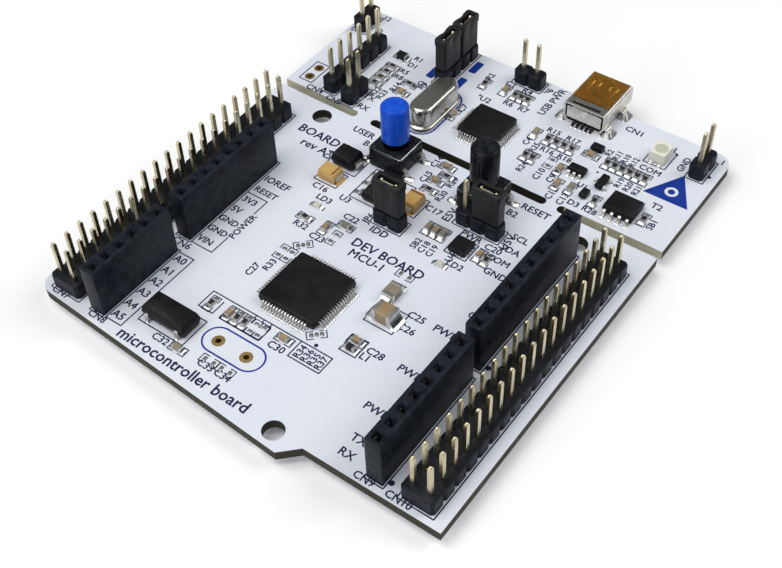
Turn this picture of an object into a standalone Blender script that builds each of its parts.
"""Microcontroller development board with a snap-off debugger section.

The board stands on the ends of its solder tails.  World origin: the middle of the
bounding box in plan, at the tail ends.  X runs across the board, Y towards the USB
socket, Z up.  Plan positions below are in millimetres from the board's front left
corner, and heights are in millimetres above the board's top face.
"""

import math

import bmesh
import bpy
from mathutils import Vector

MM = 0.001

# ---- driving dimensions, millimetres ------------------------------------------------
BOARD_WIDTH = 70.0
BOARD_LENGTH = 82.5
BOARD_THICKNESS = 1.6
CORNER_RADIUS = 2.5
FRONT_STEP_X = 46.18        # the front edge runs aslant to here, then steps back
FRONT_STEP = 2.54
SLOT_Y = 58.1               # milled line between the controller and debugger sections
SLOT_WIDTH = 1.5
LEFT_SLOT_END = 15.3
MIDDLE_SLOT = (18.2, 50.9)
RIGHT_SLOT_START = 52.9
MOUNT_HOLE_DIAMETER = 3.2
MOUNT_HOLES = ((10.87, 54.61), (59.13, 53.34), (43.89, 2.54))
CRYSTAL_PADS = ((28.2, 9.65), (33.2, 9.65))
SPARE_PADS = ((2.8, 61.5), (2.8, 64.04))
SPARE_PAD_DIAMETER = 0.9

TAIL_LENGTH = 1.6           # solder tails below the board
GAP = 0.3                   # clearance round whatever passes through another piece
SEAT = 0.15                 # stand-off under surface-mounted parts

PITCH = 2.54
PIN_SIZE = 0.64
PIN_TIP = 8.5
HEADER_HEIGHT = 2.54
HEADER_NOTCH = 0.42
SOCKET_HEIGHT = 8.5
SOCKET_WELL = 0.9
SOCKET_WELL_DEPTH = 6.0
FIRST_ROW_Y = 5.08
LEFT_SOCKET_X = 10.87
RIGHT_SOCKET_X = 59.13
LEFT_HEADER_X = 3.25
RIGHT_HEADER_X = 64.21

JUMPER_LENGTH = 4.9
JUMPER_WIDTH = 2.4
JUMPER_TOP = 8.45
CLIP_THICKNESS = 0.2
CLIP_CLEARANCE = 0.15

SWITCH_SIZE = 6.0
SWITCH_BASE_TOP = 3.2
SWITCH_COVER_THICKNESS = 0.35
SWITCH_HOLE_RADIUS = 1.95
SWITCH_WELL_RADIUS = 2.5
SWITCH_WELL_FLOOR = 0.9
STEM_RADIUS = 1.65
FLANGE_RADIUS = 2.2
FLANGE_HEIGHTS = (2.5, 2.95)
CAP_BOTTOM = 4.9
CAP_TOP = 11.3
CAP_RADIUS = 2.2
DOME_RADIUS = 2.1
DOME_RISE = 1.0
DOME_THICKNESS = 0.2
USER_SWITCH = (27.0, 52.8)
RESET_SWITCH = (43.2, 52.8)

USB_CENTRE_X = 46.9
USB_WIDTH = 7.4
USB_BACK_Y = 75.9
USB_DEPTH = 9.0
USB_HEIGHT = 3.9
USB_WALL = 0.35

ROUND_STEPS = 18

# ---- where the board's corner and top face are in the world --------------------------
ORIGIN = Vector((
    -BOARD_WIDTH / 2,
    -(USB_BACK_Y + USB_DEPTH) / 2,
    TAIL_LENGTH + BOARD_THICKNESS,
))

MATERIALS = {
    # name: (base colour, roughness, metallic)
    "solder_mask": ((0.86, 0.87, 0.92), 0.42, 0.0),
    "black_plastic": ((0.016, 0.018, 0.024), 0.48, 0.0),
    "blue_plastic": ((0.010, 0.075, 0.62), 0.28, 0.0),
    "tin_plate": ((0.66, 0.65, 0.60), 0.30, 1.0),
    "nickel": ((0.70, 0.68, 0.62), 0.24, 1.0),
    "chip_epoxy": ((0.022, 0.023, 0.026), 0.55, 0.0),
    "tantalum_case": ((0.78, 0.42, 0.09), 0.50, 0.0),
    "ceramic_tan": ((0.50, 0.34, 0.19), 0.45, 0.0),
    "lamp_resin": ((0.86, 0.88, 0.72), 0.30, 0.0),
    "amber_film": ((0.58, 0.26, 0.03), 0.22, 0.0),
    "resistor_black": ((0.05, 0.05, 0.055), 0.50, 0.0),
}


def clear_scene():
    """Remove everything the scene starts with."""
    for thing in list(bpy.data.objects):
        bpy.data.objects.remove(thing, do_unlink=True)


def make_materials():
    """Build one Principled material for each entry of MATERIALS."""
    made = {}
    for name, (colour, roughness, metallic) in MATERIALS.items():
        finish = bpy.data.materials.new(name)
        finish.use_nodes = True
        shader = finish.node_tree.nodes["Principled BSDF"]
        shader.inputs["Base Color"].default_value = (*colour, 1.0)
        shader.inputs["Roughness"].default_value = roughness
        shader.inputs["Metallic"].default_value = metallic
        finish.diffuse_color = (*colour, 1.0)
        made[name] = finish
    return made


# ---- plan outlines --------------------------------------------------------------------
def rectangle(width, length, centre=(0.0, 0.0)):
    """Corner points of a rectangle, counter-clockwise."""
    x, y = centre
    w, h = width / 2, length / 2
    return [(x - w, y - h), (x + w, y - h), (x + w, y + h), (x - w, y + h)]


def arc(centre, radius, start, end, steps):
    """Points along an arc, angles in degrees."""
    points = []
    for i in range(steps + 1):
        angle = math.radians(start + (end - start) * i / steps)
        points.append((centre[0] + radius * math.cos(angle), centre[1] + radius * math.sin(angle)))
    return points


def circle(radius, centre=(0.0, 0.0), steps=ROUND_STEPS):
    """Points round a full circle."""
    return arc(centre, radius, 0, 360, steps)[:-1]


def stadium(width, length, centre=(0.0, 0.0), steps=6):
    """A rectangle whose two narrow ends, along Y, are half circles."""
    x, y = centre
    radius = width / 2
    reach = length / 2 - radius
    return arc((x, y + reach), radius, 0, 180, steps) + arc((x, y - reach), radius, 180, 360, steps)


def turned(points):
    """The same outline with its long side along X."""
    return [(-y, x) for x, y in points]


def board_outline():
    """Board edge with its stepped front, rounded corners and the two slots open at the sides."""
    r = CORNER_RADIUS
    half = SLOT_WIDTH / 2
    w, h = BOARD_WIDTH, BOARD_LENGTH
    front = arc((r, FRONT_STEP + r), r, 180, 270, 4)
    front += [(FRONT_STEP_X, 0.0), (FRONT_STEP_X + FRONT_STEP, FRONT_STEP), (w, FRONT_STEP)]
    right_slot = [(w, SLOT_Y - half)]
    right_slot += arc((RIGHT_SLOT_START + half, SLOT_Y), half, 270, 90, 6)
    right_slot += [(w, SLOT_Y + half)]
    back = arc((w - r, h - r), r, 0, 90, 4) + arc((r, h - r), r, 90, 180, 4)
    left_slot = [(0.0, SLOT_Y + half)]
    left_slot += arc((LEFT_SLOT_END - half, SLOT_Y), half, 90, -90, 6)
    left_slot += [(0.0, SLOT_Y - half)]
    return front + right_slot + back + left_slot


def header_outline(columns, rows):
    """Plan of a snap-apart header: a V notch between neighbouring pins on both long sides."""
    half_x = columns * PITCH / 2
    half_y = rows * PITCH / 2
    notch = HEADER_NOTCH
    right, left = [], []
    for row in range(1, rows):
        y = -half_y + row * PITCH
        right += [(half_x, y - notch), (half_x - notch, y), (half_x, y + notch)]
        left += [(-half_x, y - notch), (-half_x + notch, y), (-half_x, y + notch)]
    corners = rectangle(columns * PITCH, rows * PITCH)
    return [corners[0], corners[1]] + right + [corners[2], corners[3]] + left[::-1]


# ---- solids ---------------------------------------------------------------------------
def prism(loops, bottom, top):
    """A closed solid over the first outline, with the other outlines as holes right through."""
    bm = bmesh.new()
    edges = []
    for loop in loops:
        verts = [bm.verts.new((x, y, bottom)) for x, y in loop]
        edges += [bm.edges.new((a, b)) for a, b in zip(verts, verts[1:] + verts[:1])]
    floor = bmesh.ops.triangle_fill(bm, use_beauty=True, edges=edges)
    faces = [item for item in floor["geom"] if isinstance(item, bmesh.types.BMFace)]
    raised = bmesh.ops.extrude_face_region(bm, geom=faces)
    moved = [item for item in raised["geom"] if isinstance(item, bmesh.types.BMVert)]
    bmesh.ops.translate(bm, verts=moved, vec=(0, 0, top - bottom))
    bmesh.ops.recalc_face_normals(bm, faces=bm.faces)
    return bm


def hexahedron(low, high):
    """A six-sided solid between two quads that have their corners in the same order."""
    bm = bmesh.new()
    a = [bm.verts.new(p) for p in low]
    b = [bm.verts.new(p) for p in high]
    bm.faces.new(a)
    bm.faces.new(b)
    for i in range(4):
        j = (i + 1) % 4
        bm.faces.new((a[i], a[j], b[j], b[i]))
    bmesh.ops.recalc_face_normals(bm, faces=bm.faces)
    return bm


def block(width, length, bottom, top, centre=(0.0, 0.0), taper=0.0):
    """A rectangular block, its top drawn in by taper on every side."""
    low = [(x, y, bottom) for x, y in rectangle(width, length, centre)]
    high = [(x, y, top) for x, y in rectangle(width - 2 * taper, length - 2 * taper, centre)]
    return hexahedron(low, high)


def turned_solid(profile, steps=ROUND_STEPS):
    """A solid of revolution about Z: profile is (radius, height) pairs from the axis to the axis."""
    bm = bmesh.new()
    rings = []
    for radius, height in profile:
        if radius == 0.0:
            rings.append([bm.verts.new((0, 0, height))])
        else:
            rings.append([bm.verts.new((x, y, height)) for x, y in circle(radius, steps=steps)])
    for lower, upper in zip(rings, rings[1:]):
        for i in range(steps):
            j = (i + 1) % steps
            if len(lower) == 1:
                bm.faces.new((lower[0], upper[j], upper[i]))
            elif len(upper) == 1:
                bm.faces.new((lower[i], lower[j], upper[0]))
            else:
                bm.faces.new((lower[i], lower[j], upper[j], upper[i]))
    bmesh.ops.recalc_face_normals(bm, faces=bm.faces)
    return bm


def gathered(solids):
    """Several separate solids in one mesh, used as one operand of a Boolean."""
    whole = bmesh.new()
    for solid in solids:
        piece = bpy.data.meshes.new("piece")
        solid.to_mesh(piece)
        solid.free()
        whole.from_mesh(piece)
        bpy.data.meshes.remove(piece)
    return whole


class Workshop:
    """Makes the named objects and keeps the materials that they share."""

    def __init__(self):
        self.materials = make_materials()
        self.root = bpy.data.objects.new("board_corner", None)
        self.root.location = ORIGIN * MM
        bpy.context.collection.objects.link(self.root)

    def mesh_object(self, name, bm):
        """An object whose mesh is the given solid, turned from millimetres to metres."""
        bmesh.ops.scale(bm, vec=(MM, MM, MM), verts=bm.verts)
        mesh = bpy.data.meshes.new(name)
        bm.to_mesh(mesh)
        bm.free()
        made = bpy.data.objects.new(name, mesh)
        bpy.context.collection.objects.link(made)
        return made

    def place(self, name, bm, material, spot=(0.0, 0.0), height=0.0, parent=None):
        """Add one piece: spot and height are measured from the board's corner and top face."""
        made = self.mesh_object(name, bm)
        made.data.materials.append(self.materials[material])
        made.data.set_sharp_from_angle(angle=math.radians(35))
        made.location = Vector((spot[0], spot[1], height)) * MM
        made.parent = parent or self.root
        return made

    def combine(self, target, bm, operation):
        """Join a helper solid to the target, or cut it away, with an exact Boolean."""
        helper = self.mesh_object(target.name + "_" + operation.lower(), bm)
        helper.parent = target
        helper.hide_render = True
        helper.display_type = "WIRE"
        step = target.modifiers.new(operation.lower(), "BOOLEAN")
        step.operation = operation
        step.object = helper
        step.solver = "EXACT"

    def slide_axis(self, name, spot, height):
        """An empty on a sliding joint's axis, which the moving piece hangs from."""
        axis = bpy.data.objects.new(name, None)
        axis.location = Vector((spot[0], spot[1], height)) * MM
        axis.parent = self.root
        bpy.context.collection.objects.link(axis)
        return axis


# ---- connectors -----------------------------------------------------------------------
def row_of_spots(first, count, step):
    """Plan positions of a row of pins."""
    return [(first[0] + step[0] * i, first[1] + step[1] * i) for i in range(count)]


def middle_of(spots):
    """The middle of a group of plan positions."""
    return (
        (min(x for x, _ in spots) + max(x for x, _ in spots)) / 2,
        (min(y for _, y in spots) + max(y for _, y in spots)) / 2,
    )


ALONG_X = (PITCH, 0.0)
ALONG_Y = (0.0, PITCH)

# name: pin positions
HEADERS = {
    "left_pin_header": row_of_spots((LEFT_HEADER_X, FIRST_ROW_Y), 19, ALONG_Y)
    + row_of_spots((LEFT_HEADER_X + PITCH, FIRST_ROW_Y), 19, ALONG_Y),
    "right_pin_header": row_of_spots((RIGHT_HEADER_X, FIRST_ROW_Y), 19, ALONG_Y)
    + row_of_spots((RIGHT_HEADER_X + PITCH, FIRST_ROW_Y), 19, ALONG_Y),
    "debug_wire_header": row_of_spots((8.0, 61.2), 6, ALONG_Y),
    "serial_header": row_of_spots((12.2, 60.4), 2, ALONG_Y),
    "target_select_header": row_of_spots((22.0, 73.1), 4, ALONG_Y),
    "usb_power_header": row_of_spots((32.9, 80.6), 2, ALONG_X),
    "ground_header_left": row_of_spots((2.2, 77.2), 2, ALONG_Y),
    "ground_header_right": row_of_spots((66.8, 76.3), 2, ALONG_Y),
    "current_measure_header": row_of_spots((32.98, 41.3), 2, ALONG_X),
    "power_select_header": row_of_spots((43.18, 48.0), 3, ALONG_X),
}

SOCKETS = {
    "left_front_socket": row_of_spots((LEFT_SOCKET_X, FIRST_ROW_Y), 6, ALONG_Y),
    "left_back_socket": row_of_spots((LEFT_SOCKET_X, 22.86), 8, ALONG_Y),
    "right_front_socket": row_of_spots((RIGHT_SOCKET_X, FIRST_ROW_Y), 8, ALONG_Y),
    "right_back_socket": row_of_spots((RIGHT_SOCKET_X, 26.924), 10, ALONG_Y),
}

# name: (header that it sits on, first and last pin that it joins)
JUMPERS = {
    "target_jumper_front": ("target_select_header", 0, 1),
    "target_jumper_back": ("target_select_header", 2, 3),
    "current_jumper": ("current_measure_header", 0, 1),
    "power_jumper": ("power_select_header", 1, 2),
}


def make_header(shop, name, spots):
    """Moulded strip with its square pins and solder tails, as one solid."""
    columns = round((max(x for x, _ in spots) - min(x for x, _ in spots)) / PITCH) + 1
    rows = round((max(y for _, y in spots) - min(y for _, y in spots)) / PITCH) + 1
    outline = header_outline(columns, rows) if rows > 1 else turned(header_outline(rows, columns))
    middle = middle_of(spots)
    strip = shop.place(name, prism([outline], SEAT, HEADER_HEIGHT), "black_plastic", middle)
    tail_end = -BOARD_THICKNESS - TAIL_LENGTH
    pins = [
        block(PIN_SIZE, PIN_SIZE, tail_end, PIN_TIP, (x - middle[0], y - middle[1])) for x, y in spots
    ]
    shop.combine(strip, gathered(pins), "UNION")


def make_socket(shop, name, spots):
    """Tall socket strip: square wells in its top and a solder tail under each one."""
    middle = middle_of(spots)
    local = [(x - middle[0], y - middle[1]) for x, y in spots]
    outline = rectangle(PITCH, len(spots) * PITCH)
    strip = shop.place(name, prism([outline], SEAT, SOCKET_HEIGHT), "black_plastic", middle)
    floor = SOCKET_HEIGHT - SOCKET_WELL_DEPTH
    wells = [block(SOCKET_WELL, SOCKET_WELL, floor, SOCKET_HEIGHT + 1, spot) for spot in local]
    shop.combine(strip, gathered(wells), "DIFFERENCE")
    tail_end = -BOARD_THICKNESS - TAIL_LENGTH
    tails = [block(PIN_SIZE, PIN_SIZE, tail_end, SEAT + 1, spot) for spot in local]
    shop.combine(strip, gathered(tails), "UNION")


def make_jumper(shop, name, header, first, last):
    """Lift-off jumper: a plastic sleeve open at both ends, with a contact strip inside it."""
    spots = [HEADERS[header][first], HEADERS[header][last]]
    middle = middle_of(spots)
    bottom = HEADER_HEIGHT + GAP
    axis = shop.slide_axis(name + "_lift", middle, bottom)
    half_pin = PIN_SIZE / 2
    near_wall = half_pin + GAP
    far_wall = half_pin + CLIP_THICKNESS + 2 * CLIP_CLEARANCE
    bay = rectangle(near_wall + far_wall, PITCH + 2 * near_wall, ((far_wall - near_wall) / 2, 0.0))
    clip_x = half_pin + CLIP_CLEARANCE + CLIP_THICKNESS / 2
    clip_plan = rectangle(CLIP_THICKNESS, PITCH + PIN_SIZE, (clip_x, 0.0))
    shell_plan = rectangle(JUMPER_WIDTH, JUMPER_LENGTH)
    if spots[0][1] == spots[1][1]:
        bay, clip_plan, shell_plan = turned(bay), turned(clip_plan), turned(shell_plan)
    height = JUMPER_TOP - bottom
    shop.place(name, prism([shell_plan, bay], 0.0, height), "black_plastic", parent=axis)
    clip = prism([clip_plan], 0.5, height - 0.5)
    shop.place(name + "_contact", clip, "tin_plate", parent=axis)


def make_connectors(shop):
    """Every pin header, socket strip and jumper."""
    for name, spots in HEADERS.items():
        make_header(shop, name, spots)
    for name, spots in SOCKETS.items():
        make_socket(shop, name, spots)
    for name, (header, first, last) in JUMPERS.items():
        make_jumper(shop, name, header, first, last)


def make_board(shop):
    """Bare board with its slots, mounting holes and a hole for every solder tail."""
    holes = [circle(MOUNT_HOLE_DIAMETER / 2, spot, 16) for spot in MOUNT_HOLES]
    holes += [circle(SPARE_PAD_DIAMETER / 2, spot, 8) for spot in CRYSTAL_PADS + SPARE_PADS]
    middle_x = sum(MIDDLE_SLOT) / 2
    middle_slot = turned(stadium(SLOT_WIDTH, MIDDLE_SLOT[1] - MIDDLE_SLOT[0]))
    holes.append([(x + middle_x, y + SLOT_Y) for x, y in middle_slot])
    side = PIN_SIZE + 2 * GAP
    for spots in list(HEADERS.values()) + list(SOCKETS.values()):
        holes += [rectangle(side, side, spot) for spot in spots]
    shop.place("circuit_board", prism([board_outline()] + holes, -BOARD_THICKNESS, 0.0), "solder_mask")


# ---- push buttons ---------------------------------------------------------------------
def make_switch(shop, name, spot, cap_material):
    """Tall tactile switch: base with leads, snap dome, cover plate and the sliding button."""
    half = SWITCH_SIZE / 2
    base = shop.place(
        name + "_switch_base",
        block(SWITCH_SIZE, SWITCH_SIZE, SEAT, SWITCH_BASE_TOP),
        "black_plastic",
        spot,
    )
    lead_width, lead_reach, lead_y = 0.7, 1.5, 2.25
    leads = []
    for side in (-1, 1):
        for y in (-lead_y, lead_y):
            centre = (side * (half + lead_reach / 2 - 0.4), y)
            leads.append(block(lead_reach + 0.8, lead_width, SEAT + 0.05, 0.5, centre))
    shop.combine(base, gathered(leads), "UNION")
    well = prism([circle(SWITCH_WELL_RADIUS)], SWITCH_WELL_FLOOR, SWITCH_BASE_TOP + 1)
    shop.combine(base, well, "DIFFERENCE")

    cover_bottom = SWITCH_BASE_TOP + SEAT
    plate = prism(
        [rectangle(SWITCH_SIZE, SWITCH_SIZE), circle(SWITCH_HOLE_RADIUS)],
        cover_bottom,
        cover_bottom + SWITCH_COVER_THICKNESS,
    )
    shop.place(name + "_switch_cover", plate, "tin_plate", spot)

    rim = SWITCH_WELL_FLOOR + GAP / 2
    crown = rim + DOME_RISE
    dome = turned_solid([
        (0.0, crown - DOME_THICKNESS),
        (DOME_RADIUS * 0.6, rim + DOME_RISE * 0.64 - DOME_THICKNESS),
        (DOME_RADIUS - DOME_THICKNESS, rim),
        (DOME_RADIUS, rim + 0.05),
        (DOME_RADIUS * 0.6, rim + DOME_RISE * 0.64),
        (0.0, crown),
    ])
    shop.place(name + "_switch_dome", dome, "nickel", spot)

    axis = shop.slide_axis(name + "_press", spot, 0.0)
    low, high = FLANGE_HEIGHTS
    button = turned_solid([
        (0.0, low),
        (FLANGE_RADIUS, low),
        (FLANGE_RADIUS, high),
        (STEM_RADIUS, high),
        (STEM_RADIUS, CAP_BOTTOM),
        (CAP_RADIUS, CAP_BOTTOM),
        (CAP_RADIUS, CAP_TOP - 0.15),
        (CAP_RADIUS - 0.15, CAP_TOP),
        (0.0, CAP_TOP),
    ])
    made = shop.place(name + "_button", button, cap_material, parent=axis)
    made.data.shade_smooth()
    made.data.set_sharp_from_angle(angle=math.radians(35))


# ---- USB socket -----------------------------------------------------------------------
def make_usb(shop):
    """Mini USB socket: folded metal shell, moulded insert with its tongue, and the film on top."""
    centre = (USB_CENTRE_X, USB_BACK_Y + USB_DEPTH / 2)
    shell = shop.place(
        "usb_shell", block(USB_WIDTH, USB_DEPTH, SEAT, USB_HEIGHT), "nickel", centre
    )
    mouth_width = USB_WIDTH - 2 * USB_WALL
    mouth_depth = USB_DEPTH - USB_WALL
    mouth = block(
        mouth_width, mouth_depth + 2, SEAT + USB_WALL, USB_HEIGHT - USB_WALL, (0.0, USB_WALL / 2 + 1)
    )
    feet = []
    foot_reach = 1.2
    for side in (-1, 1):
        for y in (-3.9, 1.3):
            spot = (side * (USB_WIDTH / 2 + foot_reach / 2 - 0.15), y)
            feet.append(block(foot_reach + 0.3, 1.6, SEAT, 0.45, spot))
    shop.combine(shell, gathered(feet), "UNION")
    shop.combine(shell, mouth, "DIFFERENCE")

    insert_width = mouth_width - 2 * GAP
    floor = SEAT + USB_WALL + 0.2
    ceiling = USB_HEIGHT - USB_WALL - 0.2
    wall_back = -USB_DEPTH / 2 + USB_WALL + 0.2
    insert = shop.place(
        "usb_insert",
        block(insert_width, 2.2, floor, ceiling, (0.0, wall_back + 1.1)),
        "black_plastic",
        centre,
    )
    tongue = block(3.6, 6.0, 1.75, 2.5, (0.0, wall_back + 4.0))
    shop.combine(insert, tongue, "UNION")

    film = block(USB_WIDTH - 1.0, 6.8, USB_HEIGHT + 0.1, USB_HEIGHT + 0.2)
    shop.place("usb_top_film", film, "amber_film", (centre[0], centre[1] + 0.8))


# ---- surface-mounted parts --------------------------------------------------------------
def lead_row(count, pitch, body_half, reach, width, top, side_axis, sign):
    """Sloping leads along one side of a chip body, from mid height down to the pads."""
    leads = []
    for i in range(count):
        along = (i - (count - 1) / 2) * pitch
        quad = []
        for out, low, high in ((body_half - 0.3, top - 0.2, top), (reach, SEAT, SEAT + 0.2)):
            corners = [
                (out * sign, along - width / 2, low),
                (out * sign, along + width / 2, low),
                (out * sign, along + width / 2, high),
                (out * sign, along - width / 2, high),
            ]
            quad.append([(y, x, z) if side_axis == "y" else (x, y, z) for x, y, z in corners])
        leads.append(hexahedron(quad[0], quad[1]))
    return leads


def make_leaded_chip(shop, name, spot, size, sides, pitch, reach):
    """A moulded chip with gull-wing leads.

    size is (width, length, height), sides lists (axis, sign, count, lead width), and reach
    is how far the leads stand out past the body.
    """
    width, length, height = size
    body = block(width, length, SEAT + 0.05, height, taper=0.12)
    chip = shop.place(name, body, "chip_epoxy", spot)
    leads = []
    for axis, sign, count, lead_width in sides:
        half = (width if axis == "x" else length) / 2
        leads += lead_row(count, pitch, half, half + reach, lead_width, height * 0.6, axis, sign)
    shop.combine(chip, gathered(leads), "UNION")


ALL_SIDES = (("x", -1), ("x", 1), ("y", -1), ("y", 1))

# name: (plan position, (width, length, height), leads on each side, pitch, reach)
LEADED_PARTS = {
    "main_controller": (
        (32.9, 23.4), (10.0, 10.0, 1.5), [(*side, 16, 0.24) for side in ALL_SIDES], 0.5, 1.0
    ),
    "debug_controller": (
        (34.6, 67.0), (7.0, 7.0, 1.5), [(*side, 12, 0.24) for side in ALL_SIDES], 0.5, 1.0
    ),
    "supply_regulator": (
        (29.4, 46.0), (3.5, 6.5, 1.7), [("x", -1, 3, 0.75), ("x", 1, 1, 3.0)], 2.3, 1.7
    ),
    "power_switch_chip": (
        (61.2, 63.0), (5.0, 4.0, 1.6), [("y", -1, 4, 0.42), ("y", 1, 4, 0.42)], 1.27, 1.0
    ),
    "usb_supply_chip": (
        (51.5, 66.3), (2.9, 1.6, 1.2), [("y", -1, 3, 0.4), ("y", 1, 2, 0.4)], 0.95, 0.6
    ),
    "usb_enable_transistor": (
        (55.9, 66.2), (1.3, 2.9, 1.1), [("x", -1, 1, 0.4), ("x", 1, 2, 0.4)], 1.9, 0.6
    ),
    "input_diode": (
        (21.0, 48.2), (4.0, 3.4, 2.2), [("x", -1, 1, 1.5), ("x", 1, 1, 1.5)], 1.0, 0.5
    ),
    "watch_crystal": (
        (20.5, 8.75), (7.8, 3.8, 2.5), [("y", -1, 2, 0.6), ("y", 1, 2, 0.6)], 5.5, 0.4
    ),
}


def make_chips(shop):
    """Controllers, regulators, switches and the other leaded parts."""
    for name, (spot, size, sides, pitch, reach) in LEADED_PARTS.items():
        make_leaded_chip(shop, name, spot, size, sides, pitch, reach)


# name: (plan position, width, length, height, material)
BLOCK_PARTS = {
    "debugger_supply_chip": ((45.8, 43.0), 3.0, 3.0, 0.9, "chip_epoxy"),
    "input_capacitor": ((20.9, 44.1), 3.5, 2.5, 1.9, "tantalum_case"),
    "output_capacitor": ((34.9, 46.2), 2.6, 3.5, 1.9, "tantalum_case"),
    "core_capacitor_large": ((44.6, 26.0), 3.2, 2.5, 2.0, "ceramic_tan"),
    "core_capacitor_small": ((42.9, 30.0), 2.0, 2.8, 1.4, "ceramic_tan"),
    "link_lamp": ((60.3, 76.6), 2.8, 3.4, 1.9, "lamp_resin"),
    "user_lamp": ((45.1, 38.5), 1.6, 0.8, 0.7, "lamp_resin"),
    "power_lamp": ((23.1, 37.9), 1.6, 0.8, 0.7, "lamp_resin"),
    "clamp_diode": ((54.9, 62.6), 1.2, 1.7, 0.9, "chip_epoxy"),
    "line_filter_chip": ((51.5, 72.6), 2.0, 1.3, 0.9, "chip_epoxy"),
    "analog_ferrite": ((43.9, 18.9), 1.6, 0.9, 0.8, "resistor_black"),
}


def make_block_parts(shop):
    """Leadless chips, capacitors and lamps: one small block each."""
    for name, (spot, width, length, height, material) in BLOCK_PARTS.items():
        shop.place(name, block(width, length, SEAT, height, taper=0.04), material, spot)


def make_crystal(shop):
    """Debugger crystal: a drawn metal can with round ends on a moulded base."""
    spot = (25.2, 65.7)
    shop.place("crystal_base", prism([stadium(4.7, 11.6)], SEAT, 0.9), "black_plastic", spot)
    can = prism([stadium(4.2, 10.6)], 0.9 + SEAT, 4.0)
    shop.place("crystal_can", can, "nickel", spot)


def main():
    """Build the whole board."""
    clear_scene()
    shop = Workshop()
    make_board(shop)
    make_connectors(shop)
    make_switch(shop, "user", USER_SWITCH, "blue_plastic")
    make_switch(shop, "reset", RESET_SWITCH, "black_plastic")
    make_usb(shop)
    make_chips(shop)
    make_block_parts(shop)
    make_crystal(shop)


main()
